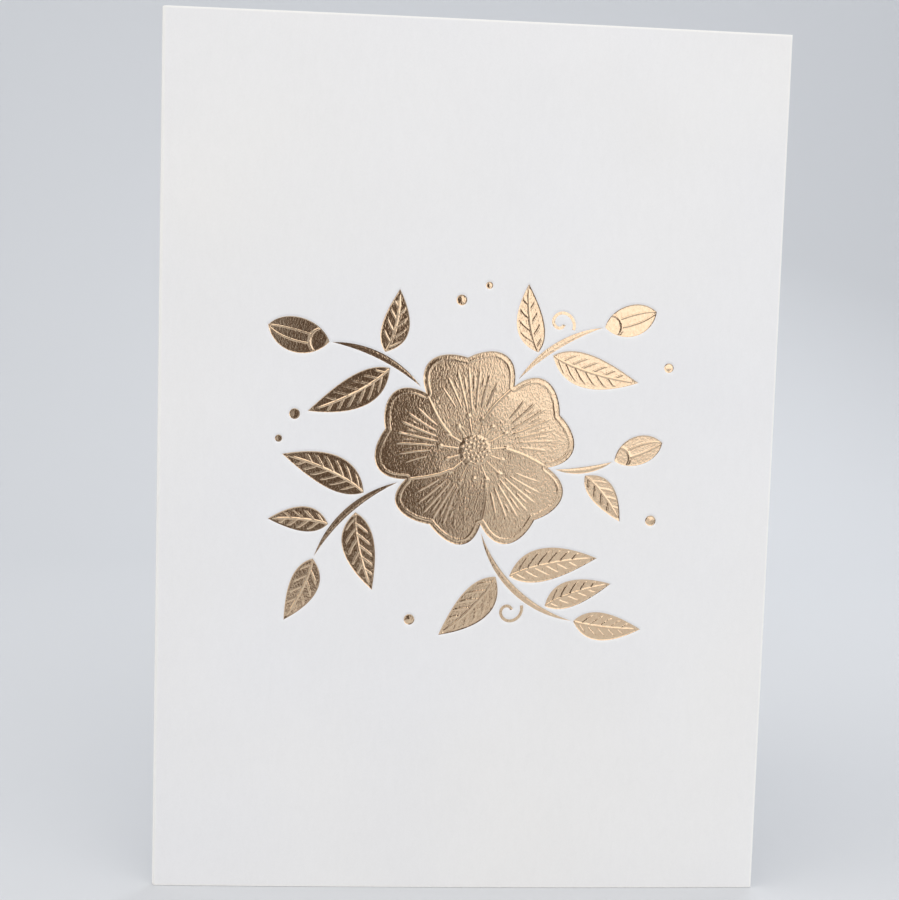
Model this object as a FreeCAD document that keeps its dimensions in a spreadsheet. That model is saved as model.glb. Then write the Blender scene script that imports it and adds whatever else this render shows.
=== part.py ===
# Folded greeting card, A6 when closed, with a gold-foil floral spray pressed into its front.
#
# One sheet of heavy uncoated card is creased and folded once. It stands on its lower edges,
# part open, with the fold upright at the left. The front panel lies in the XZ plane and faces
# -Y, and the back panel swings behind it by the opening angle. Each foil shape is a thin film
# on the floor of a recess of its own outline in the front panel.
#
# Millimetres. The pieces are drawn with the front face in the plane y = 0, its middle over
# x = 0 and its lower edge at z = 0. They then move forward by half the depth of the V, so
# that the origin is the centre of the card's footprint.
import FreeCAD, Part
import math
import os
import sys

import Sketcher
from FreeCAD import Vector

doc = FreeCAD.newDocument("greeting_card")

# Driving dimensions: alias, value and meaning
SIZES = (
    ("panel_width", 105, "one panel, from the outside of the fold to the free edge"),
    ("panel_height", 148, "height of the folded sheet"),
    ("stock_thickness", 0.5, "thickness of the card"),
    ("opening_angle", 40, "angle between the two panels, in degrees"),
    ("crease_radius", 0.3, "radius of the inside of the fold, under the bead"),
    ("bead_height", 0.12, "bulge of the crease bead into the opening"),
    ("deboss_depth", 0.2, "depth of the recesses below the front face"),
    ("foil_thickness", 0.05, "thickness of the foil film"),
    ("motif_lift", 1.2, "height of the motif's middle above the panel's middle"),
    ("motif_gap", 0.45, "bare card left between a stem and what grows from it"),
    ("root_gap", 1.4, "bare card left between a valley of the blossom and its stem"),
    ("blossom_shift", 1, "blossom's centre to the right of the motif's middle"),
    ("blossom_rise", 1.3, "blossom's centre above the motif's middle"),
    ("petal_reach", 16.4, "reach of a petal of middling size"),
    ("valley_reach", 12.8, "reach of the valleys between petals"),
    ("petal_turn", 96, "direction of the first petal, in degrees from the right"),
    ("stem_width", 1.1, "width of a stem halfway along"),
    ("tendril_width", 0.5, "width of a tendril"),
)

sheet = doc.addObject("Spreadsheet::Sheet", "sizes")
for row, (alias, value, meaning) in enumerate(SIZES, start=1):
    sheet.set(f"A{row}", str(value))
    sheet.setAlias(f"A{row}", alias)
    sheet.set(f"B{row}", meaning)
doc.recompute()

panel_width = sheet.panel_width
panel_height = sheet.panel_height
stock = sheet.stock_thickness
opening = math.radians(sheet.opening_angle)
crease_radius = sheet.crease_radius
bead_height = sheet.bead_height
gap = sheet.motif_gap
half_stem = sheet.stem_width / 2
half_tendril = sheet.tendril_width / 2

# The blossom: petals round one centre, each a little larger or smaller than the next. The
# poles of half a petal's edge are shares of the petal's reach: the first stands beyond the
# valley and beside its line, the second along and beside the petal's middle line, and the
# edge ends in a dip on that line.
PETALS = 5
PETAL_VARIATION = 0.04
VALLEY_POLE = (0.34, 0.14)
LOBE_POLE = (1.05, 0.26)
PETAL_DIP = 0.94

# A stem: the petal whose left side it leaves by, its first heading off that valley's, its
# length and its turn. Angles are in degrees.
STEMS = {
    "upper_left": (0, 2, 17.0, 42),
    "left": (1, -4, 19.5, 46),
    "lower": (2, 10, 23.0, 62),
    "right": (3, 4, 10.0, 34),
    "upper_right": (4, -8, 17.0, -38),
}

# A leaf: its stem, how far along, its side, its splay in degrees, length, width and bend
LEAVES = (
    ("upper_left", 0.36, 1, 60, 15.6, 5.4, 0.12),
    ("upper_left", 0.48, -1, 76, 10.8, 4.6, -0.14),
    ("left", 0.30, -1, 58, 15.2, 5.6, -0.12),
    ("left", 0.46, 1, 62, 13.6, 5.4, -0.10),
    ("left", 0.70, -1, 56, 10.2, 4.2, -0.10),
    ("left", 1.00, 0, 0, 11.6, 4.8, 0.10),
    ("lower", 0.34, -1, 80, 14.0, 5.6, 0.12),
    ("lower", 0.40, 1, 62, 15.4, 5.6, 0.10),
    ("lower", 0.77, 1, 46, 12.0, 4.4, 0.10),
    ("lower", 1.00, 0, 6, 11.8, 4.8, -0.06),
    ("right", 0.50, -1, 60, 10.0, 4.2, 0.12),
    ("upper_right", 0.42, -1, 52, 15.4, 5.6, -0.10),
    ("upper_right", 0.32, 1, 60, 11.6, 4.6, 0.12),
)

# A bud at the end of a stem: its stem, splay in degrees, length, width and bend
BUDS = (
    ("upper_left", -10, 10.6, 5.6, 0.06),
    ("right", -4, 8.8, 4.6, 0.05),
    ("upper_right", 4, 9.2, 5.0, -0.05),
)

# The sides of a leaf and of a bud: how far along the two middle poles stand, and how far out.
# The middle of a side keeps three quarters of its middle poles' offset.
LEAF_POLES = ((0.22, 1.20), (0.62, 0.80))
BUD_POLES = ((0.20, 1.00), (0.80, 1.10))
POLE_EFFECT = 0.75

# A tendril: its stem, how far along, its side, its splay in degrees and its first radius.
# Its quarter turns are arcs, each with a smaller radius.
TENDRILS = (
    ("lower", 0.62, -1, 40, 2.2),
    ("upper_right", 0.72, 1, 48, 2.2),
)
TENDRIL_QUARTERS = 4
TENDRIL_SHRINK = 0.72

# A dot: its place to the right of and above the blossom's centre, and its radius
DOTS = (
    (30.7, -11.4, 0.9),
    (32.8, 14.9, 0.8),
    (-3.0, 25.3, 0.9),
    (1.6, 27.9, 0.6),
    (-30.6, 5.4, 0.9),
    (-33.2, 1.2, 0.6),
    (-10.4, -29.3, 0.9),
)


def on_front(u, v):
    """A point of the front face, from its place right of and above the motif's middle."""
    return Vector(u, 0, panel_height / 2 + sheet.motif_lift + v)


def heading(angle):
    """The unit vector in the motif's plane at an angle in radians."""
    return math.cos(angle), math.sin(angle)


def bezier(poles):
    """One smooth edge from its four poles (u, v) in the motif's plane."""
    curve = Part.BezierCurve()
    curve.setPoles([on_front(u, v) for u, v in poles])
    return curve.toShape()


def line(start, end):
    return Part.LineSegment(on_front(*start), on_front(*end)).toShape()


def arc(start, middle, end):
    return Part.Arc(on_front(*start), on_front(*middle), on_front(*end)).toShape()


def face_of(edges):
    """The flat face inside a closed loop of edges."""
    return Part.Face(Part.Wire(Part.__sortEdges__(edges)))


def blossom_point(direction, along, across=0):
    """A point of the motif's plane, from its place along and across a line that leaves the
    blossom's centre in a direction in radians."""
    ahead = heading(direction)
    u = sheet.blossom_shift + along * ahead[0] - across * ahead[1]
    v = sheet.blossom_rise + along * ahead[1] + across * ahead[0]
    return u, v


def petal_direction(petal):
    return math.radians(sheet.petal_turn) + 2 * math.pi * petal / PETALS


def valley_direction(petal):
    """The direction of the valley between a petal and the next one to its left."""
    return petal_direction(petal) + math.pi / PETALS


def blossom_face():
    """The blossom's outline. Each petal is two curves that leave the valleys outwards and
    meet on the petal's middle line in a soft dip."""
    beyond, beside = VALLEY_POLE
    lobe_along, lobe_beside = LOBE_POLE
    edges = []
    for petal in range(PETALS):
        middle = petal_direction(petal)
        reach = sheet.petal_reach * (1 + PETAL_VARIATION * math.sin(2.1 * petal + 0.6))
        for side in (-1, 1):
            valley = middle + side * math.pi / PETALS
            poles = (
                blossom_point(valley, sheet.valley_reach),
                blossom_point(valley, sheet.valley_reach + beyond * reach, -side * beside * reach),
                blossom_point(middle, lobe_along * reach, side * lobe_beside * reach),
                blossom_point(middle, PETAL_DIP * reach),
            )
            edges.append(bezier(poles))
    return face_of(edges)


def stem_half_width(share):
    return half_stem * 4 * share * (1 - share)


def stem_point(name, share, side=0, off=0):
    """A point beside a stem's middle line, and the stem's heading there.

    The line is an arc: its heading turns evenly from its start, a little outside a valley.
    """
    petal, lean, length, turn = STEMS[name]
    valley = valley_direction(petal)
    start = blossom_point(valley, sheet.valley_reach + sheet.root_gap)
    first = valley + math.radians(lean)
    turn = math.radians(turn)
    radius = length / turn
    way = first + turn * share
    u = start[0] + radius * (math.sin(way) - math.sin(first)) - side * off * math.sin(way)
    v = start[1] - radius * (math.cos(way) - math.cos(first)) + side * off * math.cos(way)
    return (u, v), way


def stem_face(name):
    """A stem: an arc on each side, which meet in a point at both ends."""
    start, _ = stem_point(name, 0)
    tip, _ = stem_point(name, 1)
    middles = [stem_point(name, 0.5, side, half_stem)[0] for side in (1, -1)]
    return face_of([arc(start, middle, tip) for middle in middles])


def blade_face(base, way, length, width, bend, middle_poles):
    """A leaf or bud: a curve on each side from base to tip. The bend moves both sides the
    same way, by half a share of the length."""
    ahead = heading(way)
    out = width / 2 / POLE_EFFECT
    rise = bend * length / 2 / POLE_EFFECT
    edges = []
    for side in (1, -1):
        places = [(0, 0), (length, 0)]
        places[1:1] = [(share * length, rise + side * fullness * out) for share, fullness in middle_poles]
        poles = []
        for along, beside in places:
            u = base[0] + along * ahead[0] - beside * ahead[1]
            v = base[1] + along * ahead[1] + beside * ahead[0]
            poles.append((u, v))
        edges.append(bezier(poles))
    return face_of(edges)


def leaf_face(name, share, side, splay, length, width, bend):
    """A leaf that starts a gap away from its stem's side, or from its tip."""
    base, way = stem_point(name, share, side, stem_half_width(share) + gap)
    if side == 0:
        base = base[0] + gap * math.cos(way), base[1] + gap * math.sin(way)
    way += (side or 1) * math.radians(splay)
    return blade_face(base, way, length, width, bend, LEAF_POLES)


def bud_face(name, splay, length, width, bend):
    """A closed bud, fuller towards its tip, a gap beyond the tip of its stem."""
    base, way = stem_point(name, 1)
    base = base[0] + gap * math.cos(way), base[1] + gap * math.sin(way)
    return blade_face(base, way + math.radians(splay), length, width, bend, BUD_POLES)


def tendril_face(name, share, side, splay, radius):
    """A tendril: a ribbon of even width along quarter turns that curl away from its stem.

    Each quarter turn has its centre on the line from the last one's centre to its end, so
    that the ribbon has no kink."""
    off = stem_half_width(share) + gap + half_tendril
    base, way = stem_point(name, share, side, off)
    angle = way + side * (math.radians(splay) - math.pi / 2)
    centre = base[0] - radius * math.cos(angle), base[1] - radius * math.sin(angle)
    edges = []
    ends = []
    for quarter in range(TENDRIL_QUARTERS):
        span = [angle + side * share_of_turn * math.pi / 2 for share_of_turn in (0, 0.5, 1)]
        ribbon = []
        for edge in (1, -1):
            reach = radius + edge * half_tendril
            places = [(centre[0] + reach * math.cos(a), centre[1] + reach * math.sin(a)) for a in span]
            edges.append(arc(*places))
            ribbon.append(places)
        if quarter == 0:
            ends.append([places[0] for places in ribbon])
        if quarter == TENDRIL_QUARTERS - 1:
            ends.append([places[-1] for places in ribbon])
        angle = span[-1]
        step_in = radius * (1 - TENDRIL_SHRINK)
        centre = centre[0] + step_in * math.cos(angle), centre[1] + step_in * math.sin(angle)
        radius *= TENDRIL_SHRINK
    edges += [line(*end) for end in ends]
    return face_of(edges)


def dot_face(right, above, radius):
    centre = on_front(*blossom_point(0, right, above))
    return face_of([Part.Circle(centre, Vector(0, -1, 0), radius).toShape()])


def folded_sheet():
    """The bare folded sheet: its section seen from above, raised by the panel's height.

    The outside of the fold is one arc, tangent to both panels. Inside, the crease pushes a
    rounded bead into the opening, from one panel's inner face to the other's.
    """
    body = doc.addObject("PartDesign::Body", "folded_sheet")
    plane = next(f for f in body.Origin.OriginFeatures if f.Role == "XY_Plane")
    sketch = body.newObject("Sketcher::SketchObject", "fold_section")
    sketch.AttachmentSupport = (plane, "")
    sketch.MapMode = "FlatFace"

    outer = stock + crease_radius
    straight = panel_width - outer
    along = Vector(math.cos(opening), math.sin(opening), 0)
    outward = Vector(-math.sin(opening), math.cos(opening), 0)
    inward = Vector(math.cos(opening / 2), math.sin(opening / 2), 0)
    centre = Vector(outer - panel_width / 2, outer, 0)
    front_corner = Vector(panel_width / 2, 0, 0)
    front_inner = front_corner + Vector(0, stock, 0)
    front_end = Vector(centre.x, 0, 0)
    back_start = centre + outward * outer
    back_corner = back_start + along * straight
    back_inner = back_corner - outward * stock
    bead_front = centre - Vector(0, crease_radius, 0)
    bead_back = centre + outward * crease_radius
    half_chord = crease_radius * math.cos(opening / 2)
    bead_radius = (half_chord**2 + bead_height**2) / (2 * bead_height)
    bead_top = (bead_front + bead_back) / 2 + inward * bead_height
    bead_centre = bead_top - inward * bead_radius
    bead_half_angle = math.asin(half_chord / bead_radius)
    upright = Vector(0, 0, 1)

    fold_circle = Part.Circle(centre, upright, outer)
    bead_circle = Part.Circle(bead_centre, upright, bead_radius)
    bead_low = opening / 2 - bead_half_angle
    bead_high = opening / 2 + bead_half_angle
    sketch.addGeometry(
        [
            Part.LineSegment(front_corner, front_end),
            Part.ArcOfCircle(fold_circle, math.pi / 2 + opening, 3 * math.pi / 2),
            Part.LineSegment(back_start, back_corner),
            Part.LineSegment(back_corner, back_inner),
            Part.LineSegment(back_inner, bead_back),
            Part.ArcOfCircle(bead_circle, bead_low, bead_high),
            Part.LineSegment(bead_front, front_inner),
            Part.LineSegment(front_inner, front_corner),
        ],
        False,
    )
    front_face, fold, back_face, back_edge, back_inside, bead, front_inside, front_edge = range(8)
    start, end, middle = 1, 2, 3
    origin = -1
    rule = Sketcher.Constraint
    sketch.addConstraint(
        [
            rule("Tangent", front_face, end, fold, end),
            rule("Tangent", fold, start, back_face, start),
            rule("Coincident", back_face, end, back_edge, start),
            rule("Coincident", back_edge, end, back_inside, start),
            rule("Coincident", back_inside, end, bead, end),
            rule("Coincident", bead, start, front_inside, start),
            rule("Coincident", front_inside, end, front_edge, start),
            rule("Coincident", front_edge, end, front_face, start),
            rule("PointOnObject", front_face, start, origin),
            rule("Horizontal", front_face),
            rule("Horizontal", front_inside),
            rule("Vertical", front_edge),
            rule("Perpendicular", back_face, back_edge),
            rule("Parallel", back_face, back_inside),
        ]
    )
    driven = (
        (rule("DistanceX", origin, 1, front_face, start, panel_width / 2), "half_width",
         "sizes.panel_width / 2"),
        (rule("DistanceX", fold, middle, origin, 1, panel_width / 2 - outer), "fold_place",
         "sizes.panel_width / 2 - sizes.stock_thickness - sizes.crease_radius"),
        (rule("Radius", fold, outer), "fold_radius",
         "sizes.stock_thickness + sizes.crease_radius"),
        (rule("Angle", back_face, opening), "opening", "sizes.opening_angle * 1 deg"),
        (rule("Distance", front_edge, stock), "front_stock", "sizes.stock_thickness"),
        (rule("Distance", back_edge, stock), "back_stock", "sizes.stock_thickness"),
        (rule("Distance", back_face, straight), "back_length",
         "sizes.panel_width - sizes.stock_thickness - sizes.crease_radius"),
        (rule("Distance", back_inside, straight), "back_inside_length",
         "sizes.panel_width - sizes.stock_thickness - sizes.crease_radius"),
        (rule("Distance", front_inside, straight), "front_inside_length",
         "sizes.panel_width - sizes.stock_thickness - sizes.crease_radius"),
        (rule("Radius", bead, bead_radius), "bead_radius",
         "((sizes.crease_radius * cos(sizes.opening_angle / 2))^2 + sizes.bead_height^2)"
         " / (2 * sizes.bead_height)"),
    )
    for constraint, name, formula in driven:
        index = sketch.addConstraint(constraint)
        sketch.renameConstraint(index, name)
        sketch.setExpression(f"Constraints.{name}", formula)

    pad = body.newObject("PartDesign::Pad", "sheet_height")
    pad.Profile = sketch
    pad.setExpression("Length", "sizes.panel_height")
    body.Tip = pad
    return body


# How far the pieces move forward, so that the footprint's centre is the origin
HALF_DEPTH = (
    "((sizes.stock_thickness + sizes.crease_radius) * (1 + cos(sizes.opening_angle))"
    " + (sizes.panel_width - sizes.stock_thickness - sizes.crease_radius)"
    " * sin(sizes.opening_angle)) / 2"
)


def pressed(name, outline, thickness, depth):
    """A slab of an outline's shape, as thick as one formula says and as deep as another."""
    slab = doc.addObject("Part::Extrusion", name)
    slab.Base = outline
    slab.DirMode = "Custom"
    slab.Dir = Vector(0, 1, 0)
    slab.Solid = True
    slab.setExpression("LengthFwd", thickness)
    slab.setExpression("Placement.Base.y", depth)
    return slab


def outline_of(name, faces):
    """The foil shapes of one kind, as flat faces on the front face. Shapes that meet are joined."""
    outline = doc.addObject("Part::Feature", name)
    if len(faces) > 1:
        outline.Shape = faces[0].multiFuse(faces[1:]).removeSplitter()
    else:
        outline.Shape = faces[0]
    return outline


sheet_body = folded_sheet()

motif = {
    "blossom": [blossom_face()],
    "stems": [stem_face(name) for name in STEMS],
    "leaves": [leaf_face(*leaf) for leaf in LEAVES],
    "buds": [bud_face(*bud) for bud in BUDS],
    "tendrils": [tendril_face(*tendril) for tendril in TENDRILS],
    "dots": [dot_face(*dot) for dot in DOTS],
}

recesses = []
pieces = []
for kind, faces in motif.items():
    outline = outline_of(f"outline_{kind}", faces)
    recesses.append(pressed(f"recess_{kind}", outline, "sizes.deboss_depth", "0"))
    film_depth = f"sizes.deboss_depth - sizes.foil_thickness - {HALF_DEPTH}"
    film = pressed(f"foil_{kind}", outline, "sizes.foil_thickness", film_depth)
    film.Label = f"foil_{kind}"
    pieces.append(film)

die = doc.addObject("Part::MultiFuse", "die")
die.Shapes = recesses
card = doc.addObject("Part::Cut", "card_sheet")
card.Base = sheet_body
card.Tool = die
card.Label = "card_sheet"
card.setExpression("Placement.Base.y", f"-{HALF_DEPTH}")
pieces.insert(0, card)

doc.recompute()

failed = [o.Label for o in doc.Objects if "Invalid" in o.State or "Error" in o.State]
if failed:
    sys.exit(f"these objects failed: {failed}")
for piece in pieces:
    if piece.Shape.isNull() or not piece.Shape.isValid():
        sys.exit(f"{piece.Label} has no valid shape")

os.makedirs("parts", exist_ok=True)
for piece in pieces:
    piece.Shape.exportStep(f"parts/{piece.Label}.step")
    box = piece.Shape.BoundBox
    print(
        f"{piece.Label}: {len(piece.Shape.Solids)} solids, {piece.Shape.Volume:.2f} mm3,"
        f" x {box.XMin:.2f} to {box.XMax:.2f}, y {box.YMin:.2f} to {box.YMax:.2f},"
        f" z {box.ZMin:.2f} to {box.ZMax:.2f}"
    )
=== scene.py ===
"""Folded greeting card with a gold-foil floral spray pressed into its front panel.

The packed card is the frame. Its sheet and its foil shapes are made again here with the finish
of the real thing: cut edges with a slight ease, a front panel with a slight bow, soft shoulders
where the die pressed the foil in, and raised lines in the foil. Shapes are worked out in
millimetres in the card's own frame, and add_piece turns them into metres.
"""

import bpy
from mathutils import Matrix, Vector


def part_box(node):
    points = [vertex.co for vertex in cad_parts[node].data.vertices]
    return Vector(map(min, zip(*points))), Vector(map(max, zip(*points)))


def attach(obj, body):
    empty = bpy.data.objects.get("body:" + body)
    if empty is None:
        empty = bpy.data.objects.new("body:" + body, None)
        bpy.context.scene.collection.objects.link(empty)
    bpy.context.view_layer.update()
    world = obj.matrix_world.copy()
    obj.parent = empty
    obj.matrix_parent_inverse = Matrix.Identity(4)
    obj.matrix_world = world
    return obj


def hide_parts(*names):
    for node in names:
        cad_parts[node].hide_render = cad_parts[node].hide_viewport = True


bl_info = {
    "name": "Foil-Stamped Greeting Card",
    "version": (1, 0, 0),
    "blender": (4, 5, 0),
    "location": "3D View > Sidebar > Card",
    "description": "Makes a folded card with a foil-stamped floral spray, and its studio",
    "category": "Add Mesh",
}

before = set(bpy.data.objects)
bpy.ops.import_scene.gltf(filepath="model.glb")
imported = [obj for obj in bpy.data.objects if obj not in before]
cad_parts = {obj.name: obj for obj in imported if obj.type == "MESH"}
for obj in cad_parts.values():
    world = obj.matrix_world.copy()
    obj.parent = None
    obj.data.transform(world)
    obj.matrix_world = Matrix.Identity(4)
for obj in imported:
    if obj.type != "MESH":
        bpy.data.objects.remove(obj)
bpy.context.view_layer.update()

import math
from types import SimpleNamespace

import bmesh
import bpy
import numpy as np
from bpy.props import FloatProperty, FloatVectorProperty, PointerProperty
from mathutils import Matrix, Vector
from mathutils.geometry import delaunay_2d_cdt

MM = 0.001
CARD_LOW, CARD_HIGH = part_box("card_sheet")

# The motif's tables. Angles are in degrees, lengths in millimetres, places in shares.
PETALS = 5
PETAL_VARIATION = 0.04
VALLEY_POLE = (0.34, 0.14)
LOBE_POLE = (1.05, 0.26)
PETAL_DIP = 0.94

# A stem: the petal whose left side it leaves by, its lean off that valley, length and turn
STEMS = {
    "upper_left": (0, 2, 17.0, 42),
    "left": (1, -4, 19.5, 46),
    "lower": (2, 10, 23.0, 62),
    "right": (3, 4, 10.0, 34),
    "upper_right": (4, -8, 17.0, -38),
}

# A leaf: its stem, how far along, its side, splay, length, width and bend
LEAVES = (
    ("upper_left", 0.36, 1, 60, 15.6, 5.4, 0.12),
    ("upper_left", 0.48, -1, 76, 10.8, 4.6, -0.14),
    ("left", 0.30, -1, 58, 15.2, 5.6, -0.12),
    ("left", 0.46, 1, 62, 13.6, 5.4, -0.10),
    ("left", 0.70, -1, 56, 10.2, 4.2, -0.10),
    ("left", 1.00, 0, 0, 11.6, 4.8, 0.10),
    ("lower", 0.34, -1, 80, 14.0, 5.6, 0.12),
    ("lower", 0.40, 1, 62, 15.4, 5.6, 0.10),
    ("lower", 0.77, 1, 46, 12.0, 4.4, 0.10),
    ("lower", 1.00, 0, 6, 11.8, 4.8, -0.06),
    ("right", 0.50, -1, 60, 10.0, 4.2, 0.12),
    ("upper_right", 0.42, -1, 52, 15.4, 5.6, -0.10),
    ("upper_right", 0.32, 1, 60, 11.6, 4.6, 0.12),
)

# A bud at the end of a stem: its stem, splay, length, width and bend
BUDS = (
    ("upper_left", -10, 10.6, 5.6, 0.06),
    ("right", -4, 8.8, 4.6, 0.05),
    ("upper_right", 4, 9.2, 5.0, -0.05),
)
LEAF_POLES = ((0.22, 1.20), (0.62, 0.80))
BUD_POLES = ((0.20, 1.00), (0.80, 1.10))
POLE_EFFECT = 0.75

# A tendril: its stem, how far along, its side, splay and first radius
TENDRILS = (
    ("lower", 0.62, -1, 40, 2.2),
    ("upper_right", 0.72, 1, 48, 2.2),
)
TENDRIL_QUARTERS = 4
TENDRIL_SHRINK = 0.72

# A dot: its place to the right of and above the blossom's centre, and its radius
DOTS = (
    (30.7, -11.4, 0.9),
    (32.8, 14.9, 0.8),
    (-3.0, 25.3, 0.9),
    (1.6, 27.9, 0.6),
    (-30.6, 5.4, 0.9),
    (-33.2, 1.2, 0.6),
    (-10.4, -29.3, 0.9),
)


def length(name, about, default):
    """A length in metres, with its default in millimetres."""
    return FloatProperty(name=name, description=about, default=default * MM, subtype="DISTANCE",
                         unit="LENGTH", precision=5)


def angle(name, about, default):
    """An angle in radians, with its default in degrees."""
    return FloatProperty(name=name, description=about, default=math.radians(default),
                         subtype="ANGLE", unit="ROTATION")


def share(name, about, default, top=1.0):
    """A number from 0 to its top."""
    return FloatProperty(name=name, description=about, default=default, min=0, max=top,
                         subtype="FACTOR")


def colour(name, about, default):
    """A linear red, green and blue."""
    return FloatVectorProperty(name=name, description=about, default=default, min=0, max=1,
                               size=3, subtype="COLOR")


def power(name, about, default):
    """A lamp's power in watts."""
    return FloatProperty(name=name, description=about, default=default, min=0, unit="POWER")


class CardSheet(bpy.types.PropertyGroup):
    """The folded sheet of card."""

    width: length("Width", "One panel, from the outside of the fold to the free edge",
                  (CARD_HIGH.x - CARD_LOW.x) / MM)
    height: length("Height", "Height of the folded sheet", (CARD_HIGH.z - CARD_LOW.z) / MM)
    stock: length("Stock", "Thickness of the card", 0.5)
    crease_radius: length("Crease radius", "Inside of the fold, under the bead", 0.3)
    bead_height: length("Bead height", "Bulge of the crease bead into the opening", 0.12)
    opening: angle("Opening", "Angle between the two panels", 40)
    front_bow: length("Front bow", "How far the middle of the front panel bows forward", 0.45)
    back_bow: length("Back bow", "How far the middle of the back panel bows outward", 0.3)
    ease: length("Edge ease", "How far a cut edge is rounded off", 0.03)
    ease_width: length("Ease width", "How far in from a cut edge the rounding starts", 0.06)
    # Width of the band of painted highlight along the cut edges and the fold; rows and columns of
    # the sheet also lie this far from a cut edge
    painted_edge_highlight_width: length("Rim width", "Width of the brighter rim along the cut edges", 0.4)


class CardMotif(bpy.types.PropertyGroup):
    """The floral spray and the press that stamps it."""

    lift: length("Lift", "The motif's middle above the panel's middle", 1.2)
    gap: length("Gap", "Bare card between a stem and what grows from it", 0.45)
    root_gap: length("Root gap", "Bare card between a valley of the blossom and its stem", 1.4)
    shift: length("Shift", "Blossom's centre to the right of the motif's middle", 1.0)
    rise: length("Rise", "Blossom's centre above the motif's middle", 1.3)
    petal_reach: length("Petal reach", "Reach of a petal of middling size", 16.4)
    valley_reach: length("Valley reach", "Reach of the valleys between petals", 12.8)
    petal_turn: angle("Petal turn", "Direction of the first petal", 96)
    stem_width: length("Stem width", "Width of a stem halfway along", 1.1)
    tendril_width: length("Tendril width", "Width of a tendril", 0.5)
    press_depth: length("Press depth", "The foil's surface below the panel's face", 0.15)
    shoulder_out: length("Shoulder outside", "Width of the soft slope in the card", 0.42)
    shoulder_in: length("Shoulder inside", "Width of the soft slope in the foil", 0.20)
    film: length("Film", "Thickness of the foil film", 0.05)
    film_rim: length("Film rim", "Thickness of the film at its outline", 0.015)
    ridge_height: length("Ridge height", "Height of the main raised lines", 0.10)
    ridge_width: length("Ridge width", "Width of the main raised lines", 0.48)
    vein_height: length("Vein height", "Height of the fine raised lines", 0.065)
    vein_width: length("Vein width", "Width of the fine raised lines", 0.38)


class CardFinish(bpy.types.PropertyGroup):
    """Colours and surface of the card and the foil."""

    card_cool: colour("Card", "Colour of the uncoated card", (0.86, 0.865, 0.89))
    card_warm: colour("Card, warm", "Its warmer tone in the faint mottle", (0.89, 0.88, 0.86))
    foil: colour("Foil", "Colour of the champagne gold foil", (0.89, 0.71, 0.495))
    foil_deep: colour("Foil, deep", "Its deeper tone in the grain", (0.78, 0.545, 0.36))
    foil_roughness: share("Foil roughness", "Roughness of the pressed foil", 0.12)
    card_roughness: share("Card roughness", "Roughness of the uncoated card", 0.86)


class CardStage(bpy.types.PropertyGroup):
    """Floor, backdrop, light and camera."""

    floor: colour("Floor", "Colour of the floor and its backdrop", (0.66, 0.68, 0.71))
    sky: colour("Surrounding light", "Colour of the light all round", (0.92, 0.95, 1.0))
    sky_strength: share("Surrounding strength", "Strength of the light all round", 0.52, 4)
    key_power: power("Key", "Power of the panel at the front right", 1.13)
    top_power: power("Top", "Power of the lamp above the front", 2.5)
    fill_power: power("Fill", "Power of the lamp at the left", 1.5)
    back_power: power("Back", "Power of the lamp behind the card", 0.8)
    backdrop_power: power("Backdrop", "Power of the lamp on the backdrop", 1.2)
    camera_place: FloatVectorProperty(name="Camera", description="Where the camera stands",
                                      default=(-0.0156, -0.23729, 0.0913), subtype="XYZ",
                                      unit="LENGTH")
    camera_turn: FloatVectorProperty(name="Camera turn", description="Pitch, yaw and roll",
                                     default=[math.radians(a) for a in (-4.182, -3.465, 1.718)],
                                     subtype="EULER", unit="ROTATION")
    lens: FloatProperty(name="Lens", description="Focal length in millimetres", default=48.0,
                        min=1)


def in_millimetres(group):
    """The group's values under their own names, with its lengths in millimetres."""
    values = {}
    for key, prop in group.bl_rna.properties.items():
        if key not in ("rna_type", "name"):
            value = getattr(group, key)
            values[key] = value / MM if prop.unit == "LENGTH" and prop.array_length == 0 else value
    return SimpleNamespace(**values)


def card_sizes():
    """The sheet's and the motif's sizes. half_depth is half of the depth of the open V: the
    outside of the fold, outer times one plus cos(opening), and the back panel's sin(opening).
    close_rows is how far in from an outline the foil's rows lie close together."""
    scene = bpy.context.scene
    sheet = in_millimetres(scene.card_sheet)
    motif = in_millimetres(scene.card_motif)
    sheet.outer = sheet.stock + sheet.crease_radius
    sheet.straight = sheet.width - sheet.outer
    sheet.half_depth = (sheet.outer * (1 + math.cos(sheet.opening))
                        + sheet.straight * math.sin(sheet.opening)) / 2
    motif.close_rows = 1.4 * motif.shoulder_in
    return sheet, motif


# ---------------------------------------------------------------- plain curves and masks

# Points along a curve that is divided evenly, pairs of a point and a segment that are worked
# out at once, and a share of an even spacing that is drawn towards both ends
FINE_POINTS = 600
PAIRS_AT_ONCE = 3_000_000
DRAWN_TO_ENDS = 0.38


def smooth(x):
    """0 below 0, 1 above 1, and 3x^2 - 2x^3 between."""
    x = np.clip(x, 0, 1)
    return x * x * (3 - 2 * x)


def fade_in(x, start, run):
    """0 up to start, 1 from a run beyond it, and smooth between."""
    return smooth((x - start) / run)


def fade_out(x, end, run):
    """1 up to a run before end, 0 beyond it, and smooth between."""
    return 1 - smooth((x - end + run) / run)


def ridge(distance, width):
    """A raised line: (1 + cos(2 pi distance / width)) / 2 within half a width of it, else 0."""
    near = np.clip(np.abs(distance) / (width / 2), 0, 1)
    return (1 + np.cos(np.pi * near)) / 2


def heading(angle):
    """The unit vectors at angles in radians."""
    return np.stack((np.cos(angle), np.sin(angle)), axis=-1)


def bezier(poles, t):
    """A cubic curve: its poles weighted by (1-t)^3, 3t(1-t)^2, 3t^2(1-t) and t^3."""
    t = np.asarray(t)[:, None]
    a, b, c, d = (np.asarray(pole, float) for pole in poles)
    return (1 - t) ** 3 * a + 3 * t * (1 - t) ** 2 * b + 3 * t * t * (1 - t) * c + t**3 * d


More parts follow.
